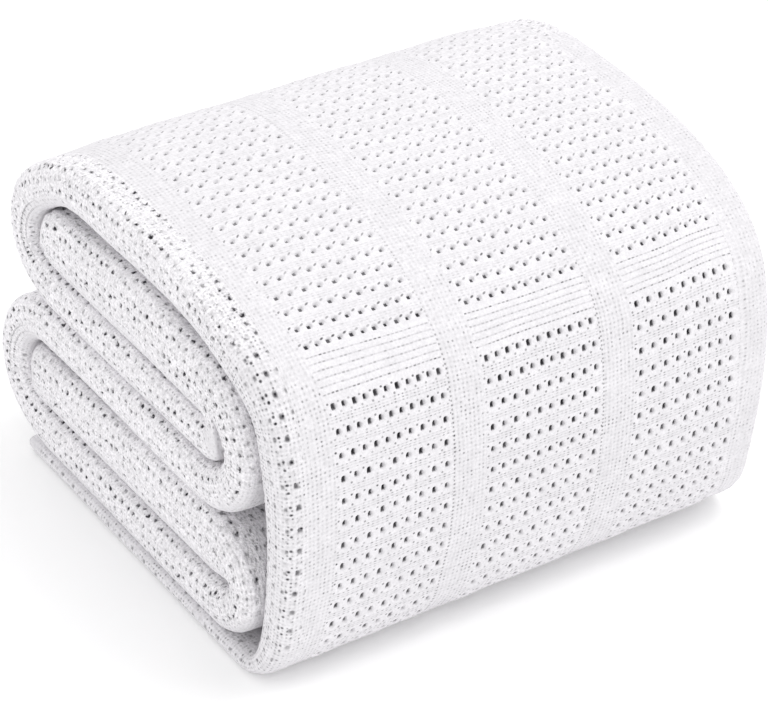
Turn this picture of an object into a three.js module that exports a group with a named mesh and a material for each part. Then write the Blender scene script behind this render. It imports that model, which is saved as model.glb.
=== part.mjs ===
import * as THREE from "three";

// A folded cellular blanket, in millimetres: +X along the strip's width, front toward -Y, +Z up.
// The blanket is first gathered into one thick strip of five plies, its long edges rounded.
// The strip is then folded back and forth, so the whole bundle is one section of a single strip,
// swept along X. The outer layer wraps the front and the top.

const STRIP_WIDTH = 300;
const END_ROUNDING = 9;
const END_FULLNESS = 2.4;
const END_POINTS = 7;
const SOFT_ZONE = 48;
const SOFT_THINNING = 0.03;
const END_DROOP = 0.008;
const DEGREES_PER_STEP = 10;
const LONGEST_STEP = 28;
const CAP_ANGLES = [72, 50, 25];

// The rows follow the strip from its free end on the floor to its free end inside the bundle.
// y and z place the line that the strip is drawn about, and heading is its direction there in
// degrees, 0 toward the back and 90 up. Cloth lies this far on each side of the line: face is the
// side that shows on the front and the top, and back is the other. seam is how far the next leg of
// a tongue continues the rounded end on the face side. left and right draw the two ends in. skew is
// how much further back the right end of a row lies than its left end.
const COLUMNS = ["name", "y", "z", "heading", "face", "back", "seam", "left", "right", "skew"];
const STRIP = [
  ["floor, free end", 121, 4.6, 180, 4.6, 4.4, 0, 3, 4, 0],
  ["floor, front", -100, 4.6, 180, 4.6, 4.4, 0, 3, 2, 9],
  ["front, low", -127, 38, 101, 12, 11, 0, 7, 3, 2],
  ["front, high", -130, 153, 76, 13.2, 13, 0, 5, 2, 0],
  ["shoulder", -90.5, 188, 20, 12.9, 13, 0, 2, 0, 0],
  ["top, crest", 14.5, 202, 0, 13.4, 16.2, 0, 0, 0, 0],
  ["top, back", 76.5, 191.8, -28, 12.9, 12.5, 0, 0, 0, 0],
  ["upper back fold", 115, 147.5, -92, 13.4, 13, 0, 0, 2, 0],
  ["second, back", 79, 123.2, -180, 13.7, 12.6, 0, 1, 3, 0],
  ["second, front", -75, 125.8, -180, 15, 8.4, 0, 1, 5, 0],
  ["inner fold", -84.2, 134.9, -270, 5.2, 8, 4, 1, 5, 0],
  ["tongue, low front", -75, 144.6, -360, 7.4, 8.2, 20.6, 0, 4, 0],
  ["tongue, low crest", -10, 144.8, -360, 7.6, 7.8, 28.4, 0, 3, 0],
  ["tongue, low back", 76, 145.2, -360, 7.4, 7.4, 22, 0, 3, 0],
  ["tongue fold", 84.4, 153.4, -270, 6.6, 11.8, 16, 0, 5, 0],
  ["tongue, high back", 72, 161.6, -180, 8.4, 13.2, 15.4, 0, 3, 0],
  ["tongue, crest", -10, 162, -180, 9.2, 18.8, 15.8, 0, 2, 0],
  ["tongue, high front", -74, 160.6, -180, 7.6, 12, 15.9, 0, 3, 0],
  ["front fold", -104.2, 126.6, -90, 11.3, 13.8, 0, 1, 4, 0],
  ["third, front", -68, 95.5, 0, 12.6, 13.2, 0, 0, 2, 0],
  ["third, back", 94, 96.3, -2, 12.4, 13.2, 0, 0, 1, 0],
  ["lower back fold", 135.4, 54, -90, 14, 12.6, 0, 0, 3, 0],
  ["fourth, back", 98, 24.6, -180, 13.6, 13.9, 0, 1, 2, 0],
  ["fourth, front", -80, 24.6, -180, 13.6, 13.6, 0, 1, 4, 0],
  ["low front fold", -103, 46, -270, 12.6, 9.4, 0, 2, 5, 0],
  ["last, front", -75, 60.8, -360, 19.6, 19.6, 0, 1, 6, 0],
  ["last, free end", 104, 60, -360, 16.6, 18.6, 0, 0, 7, 0],
].map((row) => Object.fromEntries(row.map((value, k) => [COLUMNS[k], value])));

const degrees = Math.PI / 180;
const direction = (angle) => [Math.cos(angle * degrees), Math.sin(angle * degrees)];
const blend = (from, to, part) => from + (to - from) * part;

// One smooth fold or leg between two rows: a curve that leaves and arrives along their headings.
function leg(from, to) {
  const turn = Math.abs(to.heading - from.heading);
  const chord = Math.hypot(to.y - from.y, to.z - from.z);
  const reach = chord / (3 * Math.cos((turn / 4) * degrees) ** 2);
  const [outY, outZ] = direction(from.heading);
  const [inY, inZ] = direction(to.heading);
  const curve = new THREE.CubicBezierCurve(
    new THREE.Vector2(from.y, from.z),
    new THREE.Vector2(from.y + reach * outY, from.z + reach * outZ),
    new THREE.Vector2(to.y - reach * inY, to.z - reach * inZ),
    new THREE.Vector2(to.y, to.z),
  );
  const steps = Math.max(2, Math.ceil(turn / DEGREES_PER_STEP), Math.ceil(chord / LONGEST_STEP));
  const stations = [];
  for (let step = 0; step < steps; step += 1) {
    const part = step / steps;
    const eased = part * part * (3 - 2 * part);
    const place = curve.getPoint(part);
    const along = step === 0 ? new THREE.Vector2(outY, outZ) : curve.getTangent(part);
    stations.push({
      y: place.x,
      z: place.y,
      along,
      face: blend(from.face, to.face, eased),
      back: blend(from.back, to.back, eased),
      seam: blend(from.seam, to.seam, eased),
      left: blend(from.left, to.left, eased),
      right: blend(from.right, to.right, eased),
      skew: blend(from.skew, to.skew, eased),
    });
  }
  return stations;
}

// A free end thins out round a half circle. outward is 1 past the strip's end and -1 before it.
function cap(row, outward) {
  const half = (row.face + row.back) / 2;
  const middle = (row.face - row.back) / 2;
  const [dy, dz] = direction(row.heading);
  const stations = CAP_ANGLES.map((angle) => {
    const past = outward * half * Math.sin(angle * degrees);
    const thin = half * Math.cos(angle * degrees);
    return {
      y: row.y + past * dy,
      z: row.z + past * dz,
      along: new THREE.Vector2(dy, dz),
      face: middle + thin,
      back: thin - middle,
      seam: row.seam,
      left: row.left + half - thin,
      right: row.right + half - thin,
      skew: row.skew,
    };
  });
  return outward > 0 ? stations.reverse() : stations;
}

// The outline across the strip at a station: up its rounded left end, along its face, down its
// right end and along its back. The ends are a little thinner than the middle and droop a little.
function outline(station) {
  const { y, z, along, face, back, seam, left, right, skew } = station;
  const middle = (face + seam - back) / 2;
  const half = (face + seam + back) / 2;
  const ends = [];
  for (let k = 0; k < END_POINTS; k += 1) {
    const off = -back + ((face + back) * (1 - Math.cos((Math.PI * k) / (END_POINTS - 1)))) / 2;
    const share = Math.min(1, Math.abs(off - middle) / half);
    const round = END_ROUNDING * (1 - (1 - share ** END_FULLNESS) ** (1 / END_FULLNESS));
    ends.push({ off: off * (1 - SOFT_THINNING), round });
  }
  const lowX = -STRIP_WIDTH / 2 + left;
  const highX = STRIP_WIDTH / 2 - right;
  const place = (x, off, tall) => [
    x,
    y - along.y * off + (skew * x) / STRIP_WIDTH,
    (z + along.x * off) * tall,
  ];
  const leftEnd = ends.map(({ off, round }) => place(lowX + round, off, 1 - END_DROOP));
  const rightEnd = ends.map(({ off, round }) => place(highX - round, off, 1 - END_DROOP));
  const faceSide = [place(lowX + SOFT_ZONE, face, 1), place(highX - SOFT_ZONE, face, 1)];
  const backSide = [place(highX - SOFT_ZONE, -back, 1), place(lowX + SOFT_ZONE, -back, 1)];
  return [...leftEnd, ...faceSide, ...rightEnd.reverse(), ...backSide];
}

// Joins the outlines ring to ring and closes the first and the last with a flat fan.
function sweep(outlines) {
  const count = outlines[0].length;
  const last = (outlines.length - 1) * count;
  const faces = [];
  for (let here = 0; here < last; here += count) {
    for (let k = 0; k < count; k += 1) {
      const next = (k + 1) % count;
      faces.push(here + k, here + next, here + count + next);
      faces.push(here + k, here + count + next, here + count + k);
    }
  }
  for (let k = 1; k + 1 < count; k += 1) {
    faces.push(0, k + 1, k);
    faces.push(last, last + k, last + k + 1);
  }
  const geometry = new THREE.BufferGeometry();
  geometry.setAttribute("position", new THREE.Float32BufferAttribute(outlines.flat(2), 3));
  geometry.setIndex(faces);
  geometry.computeVertexNormals();
  return geometry;
}

const start = STRIP[0];
const finish = STRIP[STRIP.length - 1];
const stations = cap(start, -1);
for (let k = 0; k + 1 < STRIP.length; k += 1) {
  stations.push(...leg(STRIP[k], STRIP[k + 1]));
}
stations.push({ ...finish, along: new THREE.Vector2(...direction(finish.heading)) });
stations.push(...cap(finish, 1));

const cotton = new THREE.MeshStandardMaterial({ color: 0xf4f3f4, roughness: 0.95, metalness: 0 });
const blanket = new THREE.Mesh(sweep(stations.map(outline)), cotton);
blanket.name = "blanket";

const part = new THREE.Group();
part.name = "folded_blanket";
part.add(blanket);

export default part;
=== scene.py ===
import math

import bpy
import numpy as np
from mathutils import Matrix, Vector


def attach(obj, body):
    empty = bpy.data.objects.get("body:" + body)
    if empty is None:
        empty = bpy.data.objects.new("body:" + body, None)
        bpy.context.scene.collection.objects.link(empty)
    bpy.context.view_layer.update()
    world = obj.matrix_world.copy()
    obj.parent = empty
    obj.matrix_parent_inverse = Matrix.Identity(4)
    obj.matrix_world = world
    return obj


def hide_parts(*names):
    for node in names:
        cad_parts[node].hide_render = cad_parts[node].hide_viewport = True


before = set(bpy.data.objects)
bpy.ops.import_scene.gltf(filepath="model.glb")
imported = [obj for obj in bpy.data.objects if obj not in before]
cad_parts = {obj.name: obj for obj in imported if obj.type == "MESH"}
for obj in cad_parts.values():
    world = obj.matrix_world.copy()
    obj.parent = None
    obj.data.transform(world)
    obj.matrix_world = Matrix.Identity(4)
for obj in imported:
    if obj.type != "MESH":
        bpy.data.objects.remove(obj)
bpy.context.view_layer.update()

MM = 0.001

# The camera of the photograph: its place in metres, the way it looks, and its lens in millimetres
CAMERA_AT = (-0.82742, -1.32504, 1.10424)
CAMERA_LOOKS = (0.44441, 0.70767, -0.54927)
CAMERA_LENS = 165.8

# The folded strip, in millimetres. Its rounded ends begin at an edge line, EDGE_AT from the middle
# of the face. SEAM_PRESSED is how far the tongue's seam is pressed shut.
STRIP_WIDTH = 300
END_ROUNDING = 9
END_FULLNESS = 2.4
SOFT_ZONE = 48
SOFT_THINNING = 0.03
END_DROOP = 0.008
EDGE_AT = 131.0
SEAM_PRESSED = 0.6

# The rows of the folded strip, as in the solid: name, y, z, heading in degrees, the cloth on the
# face side and on the back side, seam, left and right, which draw the two ends in, and skew, which
# is how much further back a row lies at its right end than at its left.
STRIP = [
    ("floor, free end", 121, 4.6, 180, 4.6, 4.4, 0, 3, 4, 0),
    ("floor, front", -100, 4.6, 180, 4.6, 4.4, 0, 3, 2, 9),
    ("front, low", -127, 38, 101, 12, 11, 0, 7, 3, 2),
    ("front, high", -130, 153, 76, 13.2, 13, 0, 5, 2, 0),
    ("shoulder", -90.5, 188, 20, 12.9, 13, 0, 2, 0, 0),
    ("top, crest", 14.5, 202, 0, 13.4, 16.2, 0, 0, 0, 0),
    ("top, back", 76.5, 191.8, -28, 12.9, 12.5, 0, 0, 0, 0),
    ("upper back fold", 115, 147.5, -92, 13.4, 13, 0, 0, 2, 0),
    ("second, back", 79, 123.2, -180, 13.7, 12.6, 0, 1, 3, 0),
    ("second, front", -75, 125.8, -180, 15, 8.4, 0, 1, 5, 0),
    ("inner fold", -84.2, 134.9, -270, 5.2, 8, 4, 1, 5, 0),
    ("tongue, low front", -75, 144.6, -360, 7.4, 8.2, 20.6, 0, 4, 0),
    ("tongue, low crest", -10, 144.8, -360, 7.6, 7.8, 28.4, 0, 3, 0),
    ("tongue, low back", 76, 145.2, -360, 7.4, 7.4, 22, 0, 3, 0),
    ("tongue fold", 84.4, 153.4, -270, 6.6, 11.8, 16, 0, 5, 0),
    ("tongue, high back", 72, 161.6, -180, 8.4, 13.2, 15.4, 0, 3, 0),
    ("tongue, crest", -10, 162, -180, 9.2, 18.8, 15.8, 0, 2, 0),
    ("tongue, high front", -74, 160.6, -180, 7.6, 12, 15.9, 0, 3, 0),
    ("front fold", -104.2, 126.6, -90, 11.3, 13.8, 0, 1, 4, 0),
    ("third, front", -68, 95.5, 0, 12.6, 13.2, 0, 0, 2, 0),
    ("third, back", 94, 96.3, -2, 12.4, 13.2, 0, 0, 1, 0),
    ("lower back fold", 135.4, 54, -90, 14, 12.6, 0, 0, 3, 0),
    ("fourth, back", 98, 24.6, -180, 13.6, 13.9, 0, 1, 2, 0),
    ("fourth, front", -80, 24.6, -180, 13.6, 13.6, 0, 1, 4, 0),
    ("low front fold", -103, 46, -270, 12.6, 9.4, 0, 2, 5, 0),
    ("last, front", -75, 60.8, -360, 19.6, 19.6, 0, 1, 6, 0),
    ("last, free end", 104, 60, -360, 16.6, 18.6, 0, 0, 7, 0),
]
NAMES = [row[0] for row in STRIP]
TOLD = ("face", "back", "seam", "left", "right", "skew")

# Rows of holes are numbered along the strip. Row 0 is the first under the shoulder, and its place
# is measured on the front. Rows 1 and 2 have no holes: a band of ribs runs across there, and again
# every so many rows, from 6 to 22.4 mm past the last row of holes. The gap between rows is even on
# the front, and over the top it grows a little from row to row.
FIRST_ROW_AT = (-138.3, 163.4)
FRONT_PITCH = 12.6
BAND_ROWS = 3
BAND_LENGTH = 27.6
TOP_PITCH = 10.1
TOP_GROWTH = 0.133
LAST_PITCH = 12.3
RIBS_FROM, RIBS_TO = 6.0 / 9.2, 22.4 / 9.2
RIB_COUNT = 5
BAND_EVERY = 44
BANDS = range(-2, 6)

# Panels of holes, from their first hole to their last across the strip. Most rows have nine holes,
# and a few rows beside the band have more.
PANELS = [(-111, -52), (-25, 36.6), (64, 124)]
HOLES = 9
MORE_HOLES = {
    (0, -2): 10, (0, -1): 11, (0, 0): 11, (0, 3): 11, (0, 4): 10,
    (1, -5): 10, (1, -4): 10, (1, -3): 10, (1, -2): 10, (1, -1): 11, (1, 0): 11, (1, 3): 10,
}

# Columns of marks round the two ends, in millimetres from the edge line of the face. TONGUE_CREASE is
# a place along the strip, in rows: no marks lie in the crease there, where the tongue meets its fold.
END_FIRST = 6.0
END_PITCH = 6.5
TONGUE_CREASE = 46.1

# Fine dark lines round the outside of the two rear folds: between which rows, and how far from the
# edge line of the face
RIM_LINES = [(22, 31, 33.2), (96.5, 102.5, 30.4)]

# Heights of the weave, in millimetres: how deep the holes are, how much deeper on the front, and how
# high the puffed cloth between the rows, the ribs and the soft unevenness are
HOLE_DEPTH = 1.3
FRONT_DEEPER = 1.1
PUFF_HEIGHT = 0.3
RIB_HEIGHT = 0.3
TUFT_HEIGHT = 0.05
END_TUFT_HEIGHT = 0.22

# Rates and turns of the waves that set each hole off a little across and along, size it, and make
# some marks of the ends strong and others weak
SWAYS = [(5.3, 9.1, 0.4), (7.7, 4.9, 1.9), (3.1, 8.3, 2.6), (2.3, 5.9, 1.1)]

# Mesh lines in one cell of the weave, as parts of a pitch from the hole's middle. Along the strip, no
# two lines come closer than LEAST_ALONG.
ACROSS = [-0.5, -0.34, -0.22, -0.165, -0.115, -0.04, 0.04, 0.115, 0.165, 0.22, 0.34]
ALONG = [-0.5, -0.4, -0.3, -0.22, -0.165, -0.115, -0.05, 0.05, 0.115, 0.165, 0.22, 0.3, 0.4]
ALONG_REAR = [-0.5, -0.36, -0.22, -0.12, -0.04, 0.04, 0.12, 0.22, 0.36]
ALONG_HIDDEN = [-0.5, -0.37, -0.25, -0.12, 0.0, 0.12, 0.25, 0.37]
LEAST_ALONG = 0.012

# Where mesh lines lie evenly across: how far apart they are in millimetres, how many there are on
# the back, and how far from the middle the fine ones beside the core's edge lines begin
EVEN_ACROSS = 0.5
STRIPE_ACROSS = 0.9
END_ACROSS = 0.85
BACK_ACROSS = 18
BACK_COLUMNS = 15
FINE_FROM = 100

# What a gap between two lines across the strip belongs to, if not to a panel
STRIPE = -1
END = -2
BACK = -3

# The material. In millimetres: the pitch of the grid of fine dots, of the faint lines half way
# between two rows of holes, and of the ribs. In a panel the grid has DOTS_ACROSS columns of dots to
# a hole, and its rows are counted on by DOTS_ALONG from one row of holes to the next. Then the
# colour of the yarn, and the near black that paints the shade inside the holes and marks and also
# darkens the fine dots and threads.
GRID_PITCH = 2.36
LINE_PITCH = 1.45
RIB_PITCH = 3.3
DOTS_ACROSS = 2.7
DOTS_ALONG = 7
WHITE_YARN = (0.815, 0.8, 0.825, 1)
HOLE_SHADE_AND_THREAD_DARK = (0.03, 0.028, 0.034, 1)

# The studio, in metres: one large soft light, a white surrounding, and a white floor with a faint
# glow, which lies just under the blanket
LIGHT_AT = (0.8, -0.65, 2.6)
LIGHT_TO = (0, 0, 0.1)
LIGHT_SIZE = 1.2
LIGHT_POWER = 17
FLOOR_SIZE = 12
FLOOR_AT = (0, 0, -0.0005)
FLOOR_WHITE = (0.97, 0.97, 0.97, 1)
FLOOR_GLOW = 0.08
WHITE = (1, 1, 1, 1)


def smooth(x, low, high):
    """Eases from 0 to 1 while x goes from low to high."""
    t = np.clip((x - low) / (high - low), 0, 1)
    return t * t * (3 - 2 * t)


# The section of the folded strip
def round_end(cols, at, outward, steps=24):
    """Samples past a free end of the strip, which thins out round a half circle."""
    end = {k: np.full(steps, v[at]) for k, v in cols.items()}
    angle = np.radians(np.linspace(0, 84, steps + 1)[1:])
    half = (end["face"] + end["back"]) / 2
    thin, past = half * np.cos(angle), outward * half * np.sin(angle)
    middle = (end["face"] - end["back"]) / 2
    end["y"] += past * end["ty"]
    end["z"] += past * end["tz"]
    end["row"] += 0.01 * outward * angle
    end["face"], end["back"] = middle + thin, thin - middle
    end["left"] += half - thin
    end["right"] += half - thin
    return end


def sample_section(steps=90):
    """Close samples of the strip's line and of what the rows say about it."""
    cols = {k: [] for k in ("y", "z", "ty", "tz", "row", *TOLD)}
    for k in range(len(STRIP) - 1):
        a, b = STRIP[k], STRIP[k + 1]
        (ya, za, ha), (yb, zb, hb) = a[1:4], b[1:4]
        reach = math.hypot(yb - ya, zb - za) / (3 * math.cos(math.radians(abs(hb - ha) / 4)) ** 2)
        da = np.array([math.cos(math.radians(ha)), math.sin(math.radians(ha))])
        db = np.array([math.cos(math.radians(hb)), math.sin(math.radians(hb))])
        p0, p3 = np.array([ya, za], float), np.array([yb, zb], float)
        p1, p2 = p0 + reach * da, p3 - reach * db
        t = np.linspace(0, 1, steps + 1)[(0 if k == 0 else 1):, None]
        point = (1 - t) ** 3 * p0 + 3 * (1 - t) ** 2 * t * p1 + 3 * (1 - t) * t ** 2 * p2 + t ** 3 * p3
        slope = 3 * (1 - t) ** 2 * (p1 - p0) + 6 * (1 - t) * t * (p2 - p1) + 3 * t ** 2 * (p3 - p2)
        slope /= np.linalg.norm(slope, axis=1, keepdims=True)
        t = t[:, 0]
        eased = t * t * (3 - 2 * t)
        for name, values in zip(("y", "z", "ty", "tz"), (*point.T, *slope.T)):
            cols[name].append(values)
        for i, name in enumerate(TOLD):
            cols[name].append(a[4 + i] + (b[4 + i] - a[4 + i]) * eased)
        cols["row"].append(k + t)
    cols = {k: np.concatenate(v) for k, v in cols.items()}
    cols["face"] += SEAM_PRESSED * smooth(cols["seam"], 2, 12)
    before, after = round_end(cols, 0, -1), round_end(cols, -1, 1)
    return {k: np.concatenate([before[k][::-1], v, after[k]]) for k, v in cols.items()}


SECTION = sample_section()
STEPS = np.hypot(np.diff(SECTION["y"]), np.diff(SECTION["z"]))
SECTION["s"] = np.concatenate([[0], np.cumsum(STEPS)])


def at_row(name, part=0.0):
    """How far along the strip a named row is, or a place part of the way to the next one."""
    return float(np.interp(NAMES.index(name) + part, SECTION["row"], SECTION["s"]))


def row_places(first=-60, last=200):
    """Row numbers, and how far along the face each row of holes lies from row 0."""
    rows = np.arange(first, last)
    top = np.minimum(TOP_PITCH + TOP_GROWTH * (rows - BAND_ROWS + 0.5), LAST_PITCH)
    gaps = np.where(rows < 0, FRONT_PITCH, np.where(rows < BAND_ROWS, BAND_LENGTH / BAND_ROWS, top))
    places = np.concatenate([[0], np.cumsum(gaps)])[:-1]
    return rows, places - places[-first], gaps


ROWS, ROW_PLACES, ROW_GAPS = row_places()


def number_rows():
    """The row number of the weave at each sample: measured on the face where it shows, and else
    on the line."""
    face_y = SECTION["y"] - SECTION["tz"] * SECTION["face"]
    face_z = SECTION["z"] + SECTION["ty"] * SECTION["face"]
    on_face = np.hypot(np.diff(face_y), np.diff(face_z))
    middle = (SECTION["s"][1:] + SECTION["s"][:-1]) / 2
    shows = smooth(middle, at_row("floor, front") - 20, at_row("floor, front") + 20)
    shows *= 1 - smooth(middle, at_row("upper back fold") - 10, at_row("upper back fold") + 40)
    walked = np.concatenate([[0], np.cumsum(STEPS + (on_face - STEPS) * shows)])
    window = (SECTION["s"] > at_row("front, low")) & (SECTION["s"] < at_row("shoulder"))
    off = np.hypot(face_y - FIRST_ROW_AT[0], face_z - FIRST_ROW_AT[1]) + 1e3 * ~window
    return np.interp(walked - walked[off.argmin()], ROW_PLACES, ROWS)


SECTION["v"] = number_rows()


def v_at(name, part=0.0):
    """The same place as at_row() gives, as a row number of the weave."""
    return float(np.interp(at_row(name, part), SECTION["s"], SECTION["v"]))


def band_part(v):
    """Where v lies in its band of ribs: 0 to 1 inside a band, and outside it below 0 or above 1."""
    half = BAND_EVERY / 2
    middle = (RIBS_FROM + RIBS_TO) / 2
    near = (v - middle + half) % BAND_EVERY - half + middle
    return (near - RIBS_FROM) / (RIBS_TO - RIBS_FROM)


def ripple(x, v, turn):
    """Uneven waves between -1 and 1 over the strip, a few centimetres long."""
    return (np.sin(0.105 * x + 0.47 * v + turn) + np.sin(0.061 * x - 0.83 * v + 2.3 * turn)
            + np.sin(0.171 * x + 0.23 * v + 4.1 * turn)) / 3


def row_shift(x, v):
    """How much further along the strip a row lies at x than in the middle, in millimetres."""
    left, right = smooth(-x, 0, 60), smooth(x, 30, 120)
    band = smooth(v, 0, BAND_ROWS)
    back = np.clip(v - BAND_ROWS, 0, 16)
    top = (2.4 * band + 5 * smooth(v, 9, 18)) * left - (0.5 * band + 0.42 * back) * right
    top += 2.4 * band * smooth(-x, 60, 115)
    top -= 0.26 * np.clip(v - 4, 0, 12) * smooth(x, -90, 60) * (1 - smooth(x, 42, 62))
    top *= 1 - smooth(v, 24, 36)
    front = 1.2 * (1 - band) * smooth(-x, 30, 60)
    front -= 3.4 * smooth(-v, 4, 9) * (1 - smooth(-v, 13, 17)) * smooth(np.abs(x + 15), 30, 95)
    front += 2.6 * np.clip((x - 62) / 62, 0, 1) * smooth(v, -9, -5) * (1 - smooth(v, 3, 9))
    low = smooth(-v, 8.5, 11.5) * (1 - smooth(-v, 13, 17))
    front += low * (2 * smooth(x, -40, 30) + 3 * smooth(x, 45, 90))
    return top + front + 0.3 * ripple(x, v, 0.6)


def column_drift(x, v):
    """How far to the right the weave lies of its straight columns, in millimetres: the panels lean
    to the right over the top, and bend here and there."""
    back = np.clip(v - BAND_ROWS, 0, 14) * (1 - smooth(v, 24, 36))
    lean = 0.5 * smooth(x, -128, -40) - 0.28 * smooth(x, 30, 70) - 0.07 * smooth(x, 80, 120)
    drift = lean * back - 1.2 * np.clip(-8 - v, 0, 4) * (1 - 0.7 * smooth(x, 40, 80))
    drift -= 2.4 * smooth(-x, 60, 105) * smooth(v, -1, 4) * (1 - smooth(v, 10, 16))
    drift -= 4.2 * smooth(x, 88, 124) * smooth(v, -8.5, -3.5) * (1 - smooth(v, 2, 7))
    drift += 0.25 * ripple(x, v, 2.1)
    return drift * smooth(EDGE_AT - np.abs(x), 0, 6)


# Lines of the mesh
def lines_along(v0, v1, parts):
    """Mesh lines across the strip between two row numbers: close round the holes, even on ribs."""
    rows = range(math.floor(v0) - 1, math.ceil(v1) + 2)
    lines = np.concatenate([row + np.array(parts) for row in rows])
    inside = (band_part(lines) > 0) & (band_part(lines) < 1)
    lines = [x for x in lines[~inside] if v0 < x < v1]
    for band in BANDS:
        ribs = RIBS_FROM + band * BAND_EVERY + np.linspace(0, RIBS_TO - RIBS_FROM, RIB_COUNT * 5 + 1)
        lines += [x for x in ribs if v0 < x < v1]
    lines = np.array(sorted([v0, v1] + lines))
    keep = np.concatenate([[True], np.diff(lines) > LEAST_ALONG])
    keep[-1] = True
    lines = lines[keep]
    if lines[-1] - lines[-2] < LEAST_ALONG:
        lines = np.delete(lines, -2)
    return lines


def lines_across(kind):
    """Mesh lines over the face from edge to edge, and what each gap between two lines belongs to:
    a panel's number, a plain stripe, or an end."""
    x, what = [-EDGE_AT], []

    def even(to, gap, number):
        count = max(2, math.ceil((to - x[-1]) / gap))
        x.extend(np.linspace(x[-1], to, count + 1)[1:])
        what.extend([number] * count)

    if kind == "hidden":
        even(EDGE_AT, BACK_ACROSS, STRIPE)
    elif kind == "edges":
        even(-FINE_FROM, END_ACROSS, END)
        even(FINE_FROM, BACK_ACROSS, STRIPE)
        even(EDGE_AT, END_ACROSS, END)
    else:
        for panel, (first, last) in enumerate(PANELS):
            pitch = (last - first) / (HOLES - 1)
            even(first - pitch / 2, STRIPE_ACROSS, STRIPE)
            if kind == "even":
                even(last + pitch / 2, EVEN_ACROSS, panel)
                continue
            for hole in range(HOLES):
                x.extend([first + (hole + part) * pitch for part in ACROSS[1:] + [0.5]])
                what.extend([panel] * len(ACROSS))
        even(EDGE_AT, STRIPE_ACROSS, STRIPE)
    return np.array(x), np.array(what)


# Outlines across the strip
def thinned(x, low, high):
    """What share of its thickness the strip keeps at x, between its ends low and high."""
    near = np.minimum(x - low, high - x)
    return 1 - SOFT_THINNING * (1 - smooth(near, END_ROUNDING, SOFT_ZONE))


def bulge(angle):
    """How far out a rounded end reaches at this angle off its middle, from 0 to 1."""
    return (1 - np.abs(np.sin(angle)) ** END_FULLNESS) ** (1 / END_FULLNESS)


def end_outline(st, side, points=160):
    """The outline round one end at every station, from the face at the edge line round to the back:
    x and off, each of the shape stations by points. side is -1 at the left and 1 at the right."""
    inset = (st["left"] if side < 0 else st["right"])[:, None]
    edge = STRIP_WIDTH / 2 - inset
    face, back, seam = (st[k][:, None] for k in ("face", "back", "seam"))
    middle, half = (face + seam - back) / 2, (face + seam + back) / 2
    top = np.arcsin(np.clip((face - middle) / half, -1, 1))
    t = np.linspace(0, 1, points)[None, :]
    flat, turn = 0.22, 0.56
    angle = top + (-math.pi / 2 - top) * np.clip((t - flat) / turn, 0, 1)
    x_round = edge - END_ROUNDING * (1 - bulge(angle))
    off_round = (middle + half * np.sin(angle)) * (1 - SOFT_THINNING)
    x_face = EDGE_AT + (edge - END_ROUNDING * (1 - bulge(top)) - EDGE_AT) * np.clip(t / flat, 0, 1)
    x_back = EDGE_AT + (edge - END_ROUNDING - EDGE_AT) * np.clip((1 - t) / (1 - flat - turn), 0, 1)
    x = np.where(t < flat, x_face, np.where(t > flat + turn, x_back, x_round))
    thin = thinned(x, -edge, edge)
    off = np.where(t < flat, face * thin, np.where(t > flat + turn, -back * thin, off_round))
    return side * x, off


def stations_at(s):
    """What the section says at the distances s along the strip, an array of any shape."""
    st = {k: np.interp(s, SECTION["s"], SECTION[k]) for k in ("y", "z", "ty", "tz", *TOLD)}
    long = np.hypot(st["ty"], st["tz"])
    st["ty"], st["tz"] = st["ty"] / long, st["tz"] / long
    return st


def end_lines(st, side, reach, extra=8):
    """Points round an end: even lines from the edge line of the face on for a reach, then a few
    more to the back's edge line. Returns x, off and the distance walked from the face's edge."""
    x, off = end_outline(st, side)
    steps = np.hypot(np.diff(x, axis=1), np.diff(off, axis=1))
    walked = np.concatenate([np.zeros((len(x), 1)), np.cumsum(steps, axis=1)], axis=1)
    total = walked[:, -1:]
    near = np.arange(END_ACROSS, reach, END_ACROSS)[None, :]
    reach = np.minimum(reach, 0.8 * total)
    near = near / near.max() * (reach - END_ACROSS)
    want = np.concatenate([near, reach + (total - reach) * np.linspace(0, 1, extra + 1)], axis=1)
    x, off = (np.stack([np.interp(*row) for row in zip(want, walked, a)]) for a in (x, off))
    return x, off, want


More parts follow.
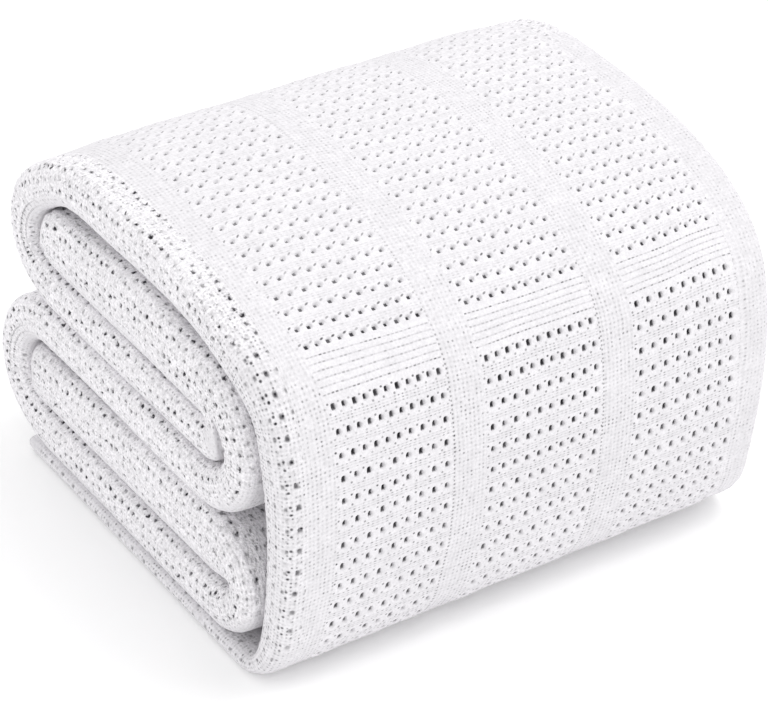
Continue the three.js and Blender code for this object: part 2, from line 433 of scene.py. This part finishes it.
def skin(lines, kind, reach):
    """Every point of the strip's skin on the mesh lines, in millimetres, with the distance of each
    from the face's middle line round the outline, and what each gap between two columns of points
    belongs to."""
    s_line = np.interp(lines, SECTION["v"], SECTION["s"])
    fx, on_face = lines_across(kind)
    bx = np.linspace(EDGE_AT, -EDGE_AT, BACK_COLUMNS)[1:-1]
    v = lines[:, None]
    face_x = fx + column_drift(fx, v)
    face = stations_at(s_line[:, None] + row_shift(fx, v))
    back = stations_at(s_line[:, None] + row_shift(bx, v))
    back_x = np.repeat(bx[None, :], len(lines), axis=0)
    flat = []
    for st, x, side, sign in ((face, face_x, "face", 1), (back, back_x, "back", -1)):
        thin = thinned(x, st["left"] - STRIP_WIDTH / 2, STRIP_WIDTH / 2 - st["right"])
        flat.append((st, x, sign * st[side] * thin))
    ends = []
    for side in (1, -1):
        st = stations_at(s_line + row_shift(side * EDGE_AT, lines))
        x, off, walked = end_lines(st, side, reach)
        st = {k: np.repeat(a[:, None], x.shape[1], axis=1) for k, a in st.items()}
        ends.append((st, x, off, side * (EDGE_AT + walked)))
    left = ends[1]
    left = ({k: a[:, ::-1] for k, a in left[0].items()}, *(a[:, ::-1] for a in left[1:]))
    rows = np.ones((len(lines), 1))
    whole = [(*flat[0], rows * fx), ends[0], (*flat[1], rows * bx), left]
    st = {k: np.concatenate([part[0][k] for part in whole], axis=1) for k in face}
    x, off, around = (np.concatenate([part[i] for part in whole], axis=1) for i in (1, 2, 3))
    on_end, on_back = np.full(ends[0][1].shape[1], END), np.full(len(bx) + 1, BACK)
    what = np.concatenate([on_face, on_end, on_back, on_end])
    y = st["y"] - st["tz"] * off + st["skew"] * x / STRIP_WIDTH
    z = st["z"] + st["ty"] * off
    inner = np.minimum(x + STRIP_WIDTH / 2, STRIP_WIDTH / 2 - x)
    z = z * (1 - END_DROOP * (1 - smooth(inner, END_ROUNDING, SOFT_ZONE)))
    return np.stack([x, y, z], axis=2), around, what


def unit(v):
    return v / np.maximum(np.linalg.norm(v, axis=-1, keepdims=True), 1e-12)


def normals_of(p):
    """Which way the skin faces at each point of a grid of points."""
    along = np.gradient(p, axis=0)
    across = np.roll(p, -1, axis=1) - np.roll(p, 1, axis=1)
    return unit(np.cross(across, along))


# The weave
def panel_column(x, row, panel):
    """Columns of holes counted across a panel, from 20, 40 or 60 at its first one, and how far apart
    they are."""
    first, last = PANELS[panel]
    pitch = (last - first) / (MORE_HOLES.get((panel, int(row)), HOLES) - 1)
    return (x - first) / pitch + 20 * (panel + 1), pitch


def end_column(around, v):
    """Columns of marks counted round an end, from 100 at the right one and 200 at the left, wandering
    a little along the strip."""
    wander = 2.6 * smooth(v, 2, 8) + 0.9 * np.sin(0.37 * v) + 0.6 * np.sin(0.83 * v + 2)
    u = (np.abs(around) - EDGE_AT - END_FIRST - wander) / END_PITCH
    return u + np.where(around > 0, 100, 200)


def end_row(v):
    """Rows of marks round the ends: two for each row of holes in the panels."""
    return 2 * (v + 0.5 - 0.65 * smooth(v, 3, 9))


def frontness(v):
    """1 on the front, where the holes are upright and their painted shade darkest, falling to 0 on the
    top.
    """
    return 1 - smooth(v, 0.5, 2.5)


def end_frontness(v):
    """The same for the ends, whose regular marks go on over the shoulder."""
    return 1 - smooth(v, 3, 6)


def has_holes(v):
    """Whether the panels have holes at v, clear of the ribs of a band."""
    part = band_part(v)
    return (part < -0.18) | (part > 1.2)


def row_gap(v):
    """How far apart the rows of holes are at v, in millimetres."""
    return np.interp(v, ROWS + 0.5, ROW_GAPS)


def sway(u, v, which):
    """An uneven number between -1 and 1 for each hole."""
    rate_u, rate_v, turn = SWAYS[which]
    return np.sin(rate_u * u + rate_v * v + turn)


def hollow(u, v, across, along, front, swing):
    """How deep the skin lies in a hole, from 0 to 1. The far wall is the gentler one."""
    cu, cv = np.round(u), np.round(v)
    dx = (u - cu) * across + swing * sway(cu, cv, 0)
    dy = (v - cv) * along + swing * sway(cu, cv, 1)
    wide = np.where(dx > 0, 1.9 - 0.5 * front, 1.0)
    tall = np.where(dy > 0, 1.9 - 0.1 * front, 1.1 + 0.7 * front)
    far = (np.abs(dx / wide) ** 3 + np.abs(dy / tall) ** 3) ** (1 / 3)
    return 1 - smooth(far, 0.35, 1.1)


def end_strength(u, row, front):
    """How strong the mark of a cell of the ends is, from 0 to 1. The front has one clear column of
    marks and a weak one, and elsewhere strong and weak ones are mixed."""
    cu, cv = np.round(u), np.round(row)
    whole = 0.5 + 0.5 * np.cos(math.pi * cv)
    mixed = (0.6 + 0.4 * sway(cu, cv, 3)) * (0.7 + 0.3 * whole)
    return mixed + (whole * np.where(cu % 100 < 0.5, 1, 0.4) - mixed) * front


def hump(part):
    """0 at a whole number and 1 half way to the next."""
    return 0.5 - 0.5 * np.cos(2 * math.pi * part)


RANDOM = np.random.default_rng(5)
TUFTS = np.stack([RANDOM.uniform(0, 2 * math.pi, 40), 2 * math.pi / RANDOM.uniform(2.6, 8, 40),
                  RANDOM.uniform(0, 2 * math.pi, 40)], axis=1)


def tufts(around, along):
    """The cloth's soft unevenness: many small waves in all directions, mostly between -1 and 1."""
    total = np.zeros_like(around)
    for heading, rate, turn in TUFTS:
        total += np.cos(rate * (around * math.cos(heading) + along * math.sin(heading)) + turn)
    return total / math.sqrt(len(TUFTS))


def panel_relief(x, v, panel):
    """How far a panel's holes, the puffed cloth between them and its ribs lift the skin."""
    first, last = PANELS[panel]
    inner = smooth(np.minimum(x - first, last - x), -3.6, 1.5)
    front, gap, part, open_weave = frontness(v), row_gap(v), band_part(v), has_holes(v)
    ribs = np.sqrt(np.abs(np.sin(math.pi * RIB_COUNT * part))) * ((part > 0) & (part < 1))
    lift = np.empty_like(x)
    for i, row in enumerate(np.round(v)):
        u, across = panel_column(x[i], row, panel)
        if open_weave[i]:
            deep = hollow(u, v[i], across, gap[i], front[i], 0.15)
            puff = hump(v[i]) * PUFF_HEIGHT + hump(u) * (1 - hump(v[i])) * 0.15
            lift[i] = inner[i] * puff - (HOLE_DEPTH + FRONT_DEEPER * front[i]) * deep
        else:
            lift[i] = RIB_HEIGHT * ribs[i] * inner[i]
    return lift


def end_depth(around, v, level):
    """How deep the skin of an end lies in its marks."""
    u, row, front = end_column(around, v), end_row(v), end_frontness(v)
    deep = hollow(u, row, END_PITCH, row_gap(v) / 2, 0.6, 0.8 - 0.55 * front)
    return end_strength(u, row, front) * deep * open_side(around, v, level)


def relief(around, v, what, level):
    """How far the weave lifts the skin at every point, in millimetres. level is how far up the skin
    faces there, from -1 to 1."""
    what = np.concatenate([what[:1], what])[:around.shape[1]]
    lift = 0.3 * ripple(1.3 * around, 0.8 * v, 3.7)
    for panel in range(len(PANELS)):
        cols = what == panel
        lift[:, cols] += panel_relief(around[:, cols], v[:, 0], panel)
    ends = what == END
    lift[:, ends] -= end_depth(around[:, ends], v[:, ends], level[:, ends])
    fuzzy = np.where(ends, smooth(np.abs(around), EDGE_AT - 6, EDGE_AT + 6), 0)
    fuzzy *= (0.3 + 0.7 * open_side(around, v, level)) * (1 - 0.7 * end_frontness(v))
    height = TUFT_HEIGHT + END_TUFT_HEIGHT * fuzzy
    return lift + height * tufts(around, np.interp(v, ROWS, ROW_PLACES))


def open_side(around, v, level):
    """1 where the skin of an end has marks, falling to 0 where it is smooth: where it turns under, at
    the free ends, in the crease before the tongue, and beside the right edge of the front and the top.
    The material paints light on the ends where it is 1 and shade where it is 0."""
    free = smooth(v, SECTION["v"][0] + 0.5, SECTION["v"][0] + 2)
    free = free * (1 - smooth(v, SECTION["v"][-1] - 2, SECTION["v"][-1] - 0.5))
    edge = (1 - smooth(around, EDGE_AT + 14, EDGE_AT + 24)) * (around > 0) * (1 - smooth(v, 16, 24))
    crease = smooth(-around, 136, 142) * (1 - smooth(np.abs(v - TONGUE_CREASE), 0.25, 0.8))
    return smooth(level, -0.45, -0.05) * free * (1 - edge) * (1 - crease)


def close_end(x):
    """Closes a ring of points with thin triangles from its face side to its back side, so that
    the cap follows the ring's own curve. Returns three points a triangle."""
    count = len(x)
    low, high = int(x.argmin()), int(x.argmax())
    face = [(low + k) % count for k in range((high - low) % count + 1)]
    back = [(low - k) % count for k in range((low - high) % count + 1)]
    i = j = 0
    faces = []
    while i + 1 < len(face) or j + 1 < len(back):
        on_face = j + 1 == len(back) or (i + 1 < len(face) and x[face[i + 1]] <= x[back[j + 1]])
        if on_face:
            faces.append((face[i], face[i + 1], back[j]))
            i += 1
        else:
            faces.append((face[i], back[j + 1], back[j]))
            j += 1
    return np.array([f for f in faces if len(set(f)) == 3])


def build(name, v0, v1, kind, reach):
    """One closed length of the strip as a mesh object."""
    parts = {"hidden": ALONG_HIDDEN, "edges": ALONG_HIDDEN, "rear": ALONG_REAR}.get(kind, ALONG)
    lines = lines_along(v0, v1, parts)
    outer = np.concatenate([[2 * lines[0] - lines[1]], lines, [2 * lines[-1] - lines[-2]]])
    p, around, what = skin(outer, kind, reach)
    v = np.repeat(outer[:, None], p.shape[1], axis=1)
    n = normals_of(p)
    level = n[:, :, 2]
    p = p + n * relief(around, v, what, level)[:, :, None]
    n = normals_of(p)
    p, n, v, around, level = p[1:-1], n[1:-1], v[1:-1], around[1:-1], level[1:-1]
    rows, count = v.shape
    index = np.arange(rows * count).reshape(rows, count)
    a, b = index[:-1], index[1:]
    quads = np.stack([a, np.roll(a, -1, 1), np.roll(b, -1, 1), b], axis=2).reshape(-1, 4)
    first, last = close_end(p[0, :, 0])[:, ::-1], close_end(p[-1, :, 0]) + index[-1, 0]
    mesh = bpy.data.meshes.new(name)
    verts = (p.reshape(-1, 3) * MM).astype(np.float32)
    loops = np.concatenate([quads.ravel(), first.ravel(), last.ravel()])
    caps = len(first) + len(last)
    starts = np.concatenate([np.arange(len(quads)) * 4, quads.size + np.arange(caps) * 3])
    mesh.vertices.add(len(verts))
    mesh.vertices.foreach_set("co", verts.ravel())
    mesh.loops.add(len(loops))
    mesh.loops.foreach_set("vertex_index", loops.astype(np.int32))
    mesh.polygons.add(len(starts))
    mesh.polygons.foreach_set("loop_start", starts.astype(np.int32))
    mesh.update(calc_edges=True)
    mesh.polygons.foreach_set("use_smooth", np.ones(len(starts), bool))
    loop_n = n.reshape(-1, 3)[loops]
    cut = quads.size
    loop_n[cut:cut + first.size] = -unit(p[1].mean(0) - p[0].mean(0))
    loop_n[cut + first.size:] = unit(p[-1].mean(0) - p[-2].mean(0))
    mesh.normals_split_custom_set(loop_n.tolist())
    mark_weave(mesh, quads, p[:, :, 1], v, around, what, level)
    obj = bpy.data.objects.new(name, mesh)
    bpy.context.scene.collection.objects.link(obj)
    print(f"{name}: {len(quads) * 2 + caps} triangles, rows {v0:.1f} to {v1:.1f}")
    return obj


def mark_weave(mesh, quads, y, v, around, what, level):
    """Gives the material its bearings: the map weave counts columns and rows of holes, the map
    cloth is in millimetres, and each face knows its zone and the gaps between its holes."""
    corner_v, corner_x = v.ravel()[quads], around.ravel()[quads]
    zone = np.tile(what, len(v) - 1)
    mid_v = corner_v.mean(1)
    u, w = np.zeros_like(corner_v), corner_v.copy()
    across, along = np.full(len(zone), END_PITCH), row_gap(mid_v)
    for panel in range(len(PANELS)):
        for row in np.unique(np.round(mid_v)):
            here = (zone == panel) & (np.round(mid_v) == row)
            u[here], across[here] = panel_column(corner_x[here], row, panel)
    ends = zone == END
    u[ends] = end_column(corner_x[ends], corner_v[ends])
    w[ends] = end_row(corner_v[ends])
    along[ends] /= 2
    part, front = band_part(mid_v), np.where(ends, end_frontness(mid_v), frontness(mid_v))
    open_part = open_side(corner_x, corner_v, level.ravel()[quads]).mean(1)
    values = {
        "panel": (zone >= 0) & has_holes(mid_v),
        "ribs": (zone >= 0) & (part > -0.12) & (part < 1.12),
        "stripe": zone == STRIPE,
        "end": ends,
        "across": across,
        "along": along,
        "front": front,
        "low": smooth(-mid_v, 2.5, 8),
        "high": smooth(mid_v, 3, 9),
        "open": open_part,
        "turn": ends * smooth(-y.ravel()[quads].mean(1), 60, 85) * open_part,
        "fine": np.where(ends, 0.36 + 0.14 * open_part + 0.1 * front,
                         np.where(zone == STRIPE, 0.3 + 0.3 * front, 0)),
    }
    spare = len(mesh.loops) - quads.size
    places = np.interp(corner_v, ROWS, ROW_PLACES)
    for name, pair in (("weave", (u, w)), ("cloth", (corner_x, places))):
        uv = np.stack([a.ravel() for a in pair], axis=1)
        uv = np.concatenate([uv, np.zeros((spare, 2))])
        mesh.uv_layers.new(name=name).uv.foreach_set("vector", uv.astype(np.float32).ravel())
    for name, value in values.items():
        value = np.concatenate([np.asarray(value, float), np.zeros(len(mesh.polygons) - len(zone))])
        layer = mesh.attributes.new(name, "FLOAT", "FACE")
        layer.data.foreach_set("value", value.astype(np.float32))


# Each length of the strip: its name, from which row to which, how closely its mesh follows the
# weave, and how far round the ends the mesh stays fine, in millimetres
FLOOR_TO, FRONT_TO, TOP_FROM, TOP_TO = -13.5, -5.5, 4.5, 14.5
BACK_FOLD_TO = v_at("upper back fold", 0.85)
LOWER_BACK = (v_at("third, back", 0.02), v_at("lower back fold", 0.9))
PIECES = [
    ("blanket_floor", SECTION["v"][0], FLOOR_TO, "hidden", 20),
    ("blanket_front", FLOOR_TO, FRONT_TO, "holes", 46),
    ("blanket_shoulder", FRONT_TO, TOP_FROM, "even", 46),
    ("blanket_top", TOP_FROM, TOP_TO, "holes", 46),
    ("blanket_upper_back", TOP_TO, BACK_FOLD_TO, "rear", 46),
    ("blanket_middle", BACK_FOLD_TO, LOWER_BACK[0], "hidden", 40),
    ("blanket_lower_back", *LOWER_BACK, "rear", 46),
    ("blanket_core", LOWER_BACK[1], SECTION["v"][-1], "edges", 40),
]
pieces = [build(*row) for row in PIECES]


# The material
cotton = bpy.data.materials.new("white_cotton")
cotton.use_nodes = True
nodes, links = cotton.node_tree.nodes, cotton.node_tree.links


def feed(socket, value):
    """Joins a node's output to a socket, or sets the socket to a constant."""
    if isinstance(value, bpy.types.NodeSocket):
        links.new(value, socket)
    else:
        socket.default_value = value


def calc(operation, *values):
    node = nodes.new("ShaderNodeMath")
    node.operation = operation
    for socket, value in zip(node.inputs, values):
        feed(socket, value)
    return node.outputs[0]


def add(a, b):
    return calc("ADD", a, b)


def times(*values):
    product = values[0]
    for value in values[1:]:
        product = calc("MULTIPLY", product, value)
    return product


def minus(a, b):
    return calc("SUBTRACT", a, b)


def blend(a, b, part):
    """a where part is 0 and b where it is 1."""
    return add(a, times(minus(b, a), part))


def step(value, low, high, start=0.0, end=1.0):
    """Eases from start to end while value goes from low to high."""
    node = nodes.new("ShaderNodeMapRange")
    node.interpolation_type = "SMOOTHSTEP"
    for name, given in zip(("Value", "From Min", "From Max", "To Min", "To Max"),
                           (value, low, high, start, end)):
        feed(node.inputs[name], given)
    return node.outputs[0]


def chance(a, b, turn):
    """A random number for each cell."""
    pair = nodes.new("ShaderNodeCombineXYZ")
    feed(pair.inputs["X"], a)
    feed(pair.inputs["Y"], b)
    pair.inputs["Z"].default_value = turn
    node = nodes.new("ShaderNodeTexWhiteNoise")
    links.new(pair.outputs[0], node.inputs["Vector"])
    return node.outputs["Value"]


def wave(cu, cv, rate_u, rate_v, turn):
    """The same uneven shift as sway() gives the relief."""
    return calc("SINE", add(add(times(cu, rate_u), times(cv, rate_v)), turn))


def noise(scale, detail, rough=0.5):
    """Soft noise through the cloth, about its scale in patches to a metre."""
    node = nodes.new("ShaderNodeTexNoise")
    node.inputs["Scale"].default_value = scale
    node.inputs["Detail"].default_value = detail
    node.inputs["Roughness"].default_value = rough
    links.new(where, node.inputs["Vector"])
    return node.outputs["Fac"]


def told(name):
    """What each face has been told under this name."""
    node = nodes.new("ShaderNodeAttribute")
    node.attribute_name = name
    return node.outputs["Fac"]


def chart(name):
    """The two numbers of one of the maps."""
    node = nodes.new("ShaderNodeUVMap")
    node.uv_map = name
    parts = nodes.new("ShaderNodeSeparateXYZ")
    links.new(node.outputs[0], parts.inputs[0])
    return parts.outputs["X"], parts.outputs["Y"]


def far_out(x, y, power):
    """How far out x and y lie on a rounded square."""
    total = add(calc("POWER", calc("ABSOLUTE", x), power), calc("POWER", calc("ABSOLUTE", y), power))
    return calc("POWER", total, 1 / power)


def mix(kind, a, b, part):
    """Two colours mixed, or multiplied where kind says so."""
    node = nodes.new("ShaderNodeMix")
    node.data_type = "RGBA"
    node.blend_type = kind
    feed(node.inputs["A"], a)
    feed(node.inputs["B"], b)
    feed(node.inputs["Factor"], part)
    return node.outputs["Result"]


u, v = chart("weave")
around, along = chart("cloth")
zone = {name: told(name) for name in ("panel", "ribs", "stripe", "end", "across", "along",
                                      "front", "low", "high", "fine", "open", "turn")}
where = nodes.new("ShaderNodeTexCoord").outputs["Object"]

front = zone["front"]
fuzz = noise(750, 2, 0.6)


def cells(over=0.0, up=0.0):
    """The weave in cells, moved over and up by parts of a cell: the cell's column and row, and how
    far a point lies from the cell's middle, in millimetres."""
    moved_u, moved_v = minus(u, over), minus(v, up)
    cu, cv = calc("ROUND", moved_u), calc("ROUND", moved_v)
    return cu, cv, times(minus(moved_u, cu), zone["across"]), times(minus(moved_v, cv), zone["along"])


def every_other(cv):
    """1 in each second row and 0 between."""
    return minus(1, calc("PINGPONG", cv, 1))


def first_column(cu):
    """1 in the first column of marks round an end, and 0 elsewhere."""
    return calc("COMPARE", calc("MODULO", cu, 100), 0, 0.5)


def painted_hole_shade():
    """Painted shade in the panels' holes, darkest on the front, with soft painted shade beside each.
    """
    cu, cv, x, y = cells()
    x = add(x, times(wave(cu, cv, *SWAYS[0]), 0.15))
    y = add(y, times(wave(cu, cv, *SWAYS[1]), 0.15))
    grown = add(1, times(wave(cu, cv, *SWAYS[2]), 0.12))
    wide = times(blend(1.02, 1.08, front), grown)
    tall = times(blend(1.06, 1.62, front), grown)
    rise = minus(y, times(x, zone["high"], 0.35))
    inside = step(far_out(calc("DIVIDE", x, wide), calc("DIVIDE", rise, tall), 5), 0.72, 1.12, 1, 0)
    # How dark the painted shade in a hole is: paler over the top, and a little paler on the low front
    # rows
    deep = blend(minus(1, times(zone["high"], 0.26)), minus(1, times(zone["low"], 0.1)), front)
    deep = times(deep, blend(0.82, 1, chance(cu, cv, 1)))
    below = minus(y, add(times(minus(1, front), 1.0), times(zone["low"], -1.5)))
    shade = far_out(calc("DIVIDE", minus(x, 1.2), 1.7), calc("DIVIDE", below, 1.8), 2)
    shade = step(shade, 0.1, 1.1, 1, 0)
    return times(calc("MAXIMUM", times(inside, deep), times(shade, 0.18)), zone["panel"])


def painted_end_mark_shade():
    """Painted shade in the marks round the ends: small dark cores of mixed strength, each with a soft
    painted shade at one side.
    """
    cu, cv, x, y = cells()
    whole, first = every_other(cv), first_column(cu)
    mixed = times(add(0.6, times(wave(cu, cv, *SWAYS[3]), 0.4)), add(0.7, times(whole, 0.3)))
    strong = blend(mixed, times(whole, blend(0.4, 1, first)), front)
    swing, loose = blend(0.8, 0.25, front), blend(3.2, 0.8, front)
    x = add(x, times(wave(cu, cv, *SWAYS[0]), swing))
    y = add(y, times(wave(cu, cv, *SWAYS[1]), swing))
    x = add(x, times(minus(noise(420, 2, 0.6), 0.5), loose))
    y = add(y, times(minus(fuzz, 0.5), loose))
    wide = times(blend(0.6, 1.1, strong), add(1, times(front, 0.25)))
    tall = times(wide, add(1, times(front, 0.2)))
    core = step(far_out(calc("DIVIDE", x, wide), calc("DIVIDE", y, tall), 4), 0.4, 1.25, 1, 0)
    aside_x = minus(times(chance(cu, cv, 7), 2.6), 1.3)
    aside_y = minus(times(chance(cu, cv, 8), 2.6), 1.3)
    shade = step(far_out(minus(x, aside_x), minus(y, aside_y), 2), 0.3, 2.3, 1, 0)
    mark = add(times(core, blend(0.25, 0.9, strong)), times(shade, blend(0.12, 0.32, strong)))
    mark = times(mark, minus(1, times(first, blend(0.3, 0.2, front))))
    mark = times(mark, minus(1, times(front, 0.15)))
    return times(mark, zone["end"], zone["open"])


def painted_twin_hole_shade():
    """Painted shade in pairs of small holes beside the first column of marks on the front."""
    twins = 0.0
    for up in (0.2, -0.5):
        cu, cv, x, y = cells(0.66, up)
        dot = step(far_out(x, y, 2), 0.3, 1.1, 1, 0)
        twins = add(twins, times(dot, first_column(cu), every_other(cv)))
    return times(twins, zone["end"], zone["open"], times(front, 0.85))


def painted_small_hole_shade():
    """Painted shade in two smaller holes between each hole and the next, one higher and one lower."""
    small = 0.0
    for over, up, shown in ((0.56, 0.2, 1.0), (0.6, -0.26, times(0.75, front))):
        cu, cv, x, y = cells(over, up)
        lean = times(blend(0.7, 0.0, front), blend(0.5, 1, zone["high"]))
        shown = times(shown, minus(1, times(zone["high"], 0.2)))
        x_part = calc("DIVIDE", x, blend(1.15, 0.75, front))
        y_part = calc("DIVIDE", minus(y, times(x, lean)), 0.7)
        dot = step(far_out(x_part, y_part, 2), 0.4, 1.2, 1, 0)
        small = add(small, times(dot, shown, blend(0.4, 0.9, chance(cu, cv, 4))))
    return times(small, zone["panel"])


# The fine grid between the yarns. On a panel it keeps in step with the holes, and between shows
# where it lies half way between two rows of them.
below_row = calc("FLOOR", v)
half_way = times(minus(minus(v, below_row), 0.5), zone["along"], 1 / LINE_PITCH)
between = times(step(calc("ABSOLUTE", half_way), 1.3, 1.5, 1, 0), zone["panel"])
wobble = times(minus(noise(60, 1), 0.5), 0.6)
grid_x = add(calc("DIVIDE", around, GRID_PITCH), wobble)
grid_y = add(calc("DIVIDE", along, GRID_PITCH), wobble)
grid_x = blend(grid_x, times(u, DOTS_ACROSS), zone["panel"])
grid_y = blend(grid_y, add(half_way, times(below_row, DOTS_ALONG)), zone["panel"])
dot_x, dot_y = calc("ROUND", grid_x), calc("ROUND", grid_y)
off_x, off_y = minus(grid_x, dot_x), minus(grid_y, dot_y)
thin_x = step(calc("ABSOLUTE", off_x), 0.05, 0.35, 1, 0)
thin_y = step(calc("ABSOLUTE", off_y), 0.05, 0.35, 1, 0)


def fine_weave():
    """Fine dots between the yarns, with blots here and there, and the faint lines of the yarns."""
    far = far_out(off_x, off_y, 2)
    dot, blot = step(far, 0.06, 0.34, 1, 0), step(far, 0.1, 0.75, 1, 0)
    seen = calc("POWER", chance(dot_x, dot_y, 5), 1.7)
    patch = step(noise(90, 2), 0.42, 0.6)
    dotted = add(times(zone["fine"], blend(0.5, 1.15, patch)), times(between, blend(0.2, 0.6, front)))
    dotted = add(dotted, times(zone["turn"], 0.12))
    blotchy = times(add(add(zone["stripe"], between), zone["turn"]), 0.12)
    fine = add(times(dot, seen, dotted), times(blot, chance(dot_x, dot_y, 9), blotchy))
    fine = add(fine, times(thin_y, between, blend(0.02, 0.06, front)))
    return add(fine, times(add(thin_x, times(thin_y, 0.6)), zone["fine"], 0.05))


def rib_lines():
    """Dark threads between the ribs of a band, darkest at its two borders."""
    part = times(calc("DIVIDE", minus(v, RIBS_FROM), RIBS_TO - RIBS_FROM), RIB_COUNT)
    off = times(calc("ABSOLUTE", minus(part, calc("ROUND", part))), RIB_PITCH)
    border = minus(calc("ABSOLUTE", minus(part, RIB_COUNT / 2)), RIB_COUNT / 2)
    border = step(calc("ABSOLUTE", border), 0, 0.3, 1, 0)
    dash = step(calc("ABSOLUTE", off_x), 0.15, 0.42, 1, 0)
    thread = times(dash, chance(dot_x, calc("ROUND", part), 6))
    return times(step(off, 0.1, 0.6, 1, 0), zone["ribs"],
                 add(0.14, times(thread, add(0.35, times(border, 0.35)))))


def side_lines():
    """A dotted line along the right side of the first two panels."""
    line = 0.0
    for first, last in PANELS[:2]:
        at = last + (last - first) / (HOLES - 1) / 2 + 0.6
        line = add(line, step(calc("ABSOLUTE", minus(around, at)), 0.1, 0.7, 1, 0))
    return times(line, thin_y, blend(0.2, 0.55, front), zone["stripe"])


def rim_lines():
    """Two lines round the outside of each rear fold, where the plies show."""
    line = 0.0
    for from_row, to_row, at in RIM_LINES:
        start, stop = np.interp((from_row, to_row), ROWS, ROW_PLACES).tolist()
        shown = times(step(along, start, start + 30), step(along, stop - 30, stop, 1, 0))
        for inward, weight in ((0, 1), (3.6, 0.5)):
            off = calc("ABSOLUTE", minus(calc("ABSOLUTE", around), EDGE_AT + at + inward))
            line = add(line, times(step(off, 0.1, 0.8, 1, 0), shown, weight))
    return times(line, blend(0.3, 0.7, thin_y), zone["end"])


# Colour and fuzz, with painted shade in the holes and marks
# dark: painted shade of the holes and marks, with the dark of the fine dots and threads added
dark = calc("MAXIMUM", painted_hole_shade(), painted_end_mark_shade())
for layer in (painted_small_hole_shade, painted_twin_hole_shade, fine_weave, rib_lines, side_lines, rim_lines):
    dark = add(dark, layer())
dark = calc("MINIMUM", dark, 1)
speck = minus(step(fuzz, 0.3, 0.7), 0.5)
# Painted light and shade on the ends: lighter, with stronger specks, where the skin faces up and has
# marks, less so on the front; darker where it turns under, at the free ends, in the crease before the
# tongue and beside the right edge. Random patches of tone are added as well.
painted_end_light = times(zone["end"], zone["open"], blend(1, 0.25, front))
tone_and_painted_light = minus(add(0.965, times(painted_end_light, 0.14)), times(zone["end"], minus(1, zone["open"]), 0.04))
tone_and_painted_light = add(tone_and_painted_light, add(times(noise(25, 3), 0.06), times(speck, blend(0.11, 0.32, painted_end_light))))
tone_and_painted_light = add(tone_and_painted_light, times(minus(noise(140, 2), 0.5), 0.16))
grey = nodes.new("ShaderNodeCombineColor")
for channel in grey.inputs:
    links.new(tone_and_painted_light, channel)
# The yarn goes towards near black by dark: painted shade in the holes and marks, and the fine dots and
# threads
colour = mix("MULTIPLY", mix("MIX", WHITE_YARN, HOLE_SHADE_AND_THREAD_DARK, times(dark, 0.985)), grey.outputs[0], 1)
bump = nodes.new("ShaderNodeBump")
bump.inputs["Strength"].default_value = 0.6
bump.inputs["Distance"].default_value = 0.0008
links.new(minus(times(speck, blend(0.3, 0.9, painted_end_light)), times(dark, 0.4)), bump.inputs["Height"])
shader = nodes["Principled BSDF"]
shader.inputs["Roughness"].default_value = 0.95
shader.inputs["Specular IOR Level"].default_value = 0.1
links.new(colour, shader.inputs["Base Color"])
links.new(bump.outputs["Normal"], shader.inputs["Normal"])

for piece in pieces:
    piece.data.materials.append(cotton)
    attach(piece, "root")
    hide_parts("blanket")

# The studio
scene = bpy.context.scene
scene.view_settings.view_transform = "Standard"
bpy.ops.mesh.primitive_plane_add(size=FLOOR_SIZE, location=FLOOR_AT)
floor = bpy.context.object
floor.name = "floor"
paper = bpy.data.materials.new("paper")
paper.use_nodes = True
paint = paper.node_tree.nodes["Principled BSDF"]
paint.inputs["Base Color"].default_value = FLOOR_WHITE
paint.inputs["Roughness"].default_value = 1
paint.inputs["Emission Color"].default_value = WHITE
paint.inputs["Emission Strength"].default_value = FLOOR_GLOW
floor.data.materials.append(paper)

world = bpy.data.worlds.new("world")
scene.world = world
world.use_nodes = True
world.node_tree.nodes["Background"].inputs["Color"].default_value = WHITE
world.node_tree.nodes["Background"].inputs["Strength"].default_value = 1.0

light_data = bpy.data.lights.new("key", "AREA")
light_data.shape = "SQUARE"
light_data.size = LIGHT_SIZE
light_data.energy = LIGHT_POWER
light = bpy.data.objects.new("key", light_data)
light.location = LIGHT_AT
light.rotation_euler = (Vector(LIGHT_TO) - Vector(LIGHT_AT)).to_track_quat("-Z", "Y").to_euler()
scene.collection.objects.link(light)

camera_data = bpy.data.cameras.new("camera")
camera_data.lens = CAMERA_LENS
camera_data.sensor_width = 36
camera_data.clip_end = 50
camera = bpy.data.objects.new("camera", camera_data)
camera.location = CAMERA_AT
camera.rotation_euler = Vector(CAMERA_LOOKS).to_track_quat("-Z", "Y").to_euler()
scene.collection.objects.link(camera)
scene.camera = camera

bpy.context.view_layer.update()
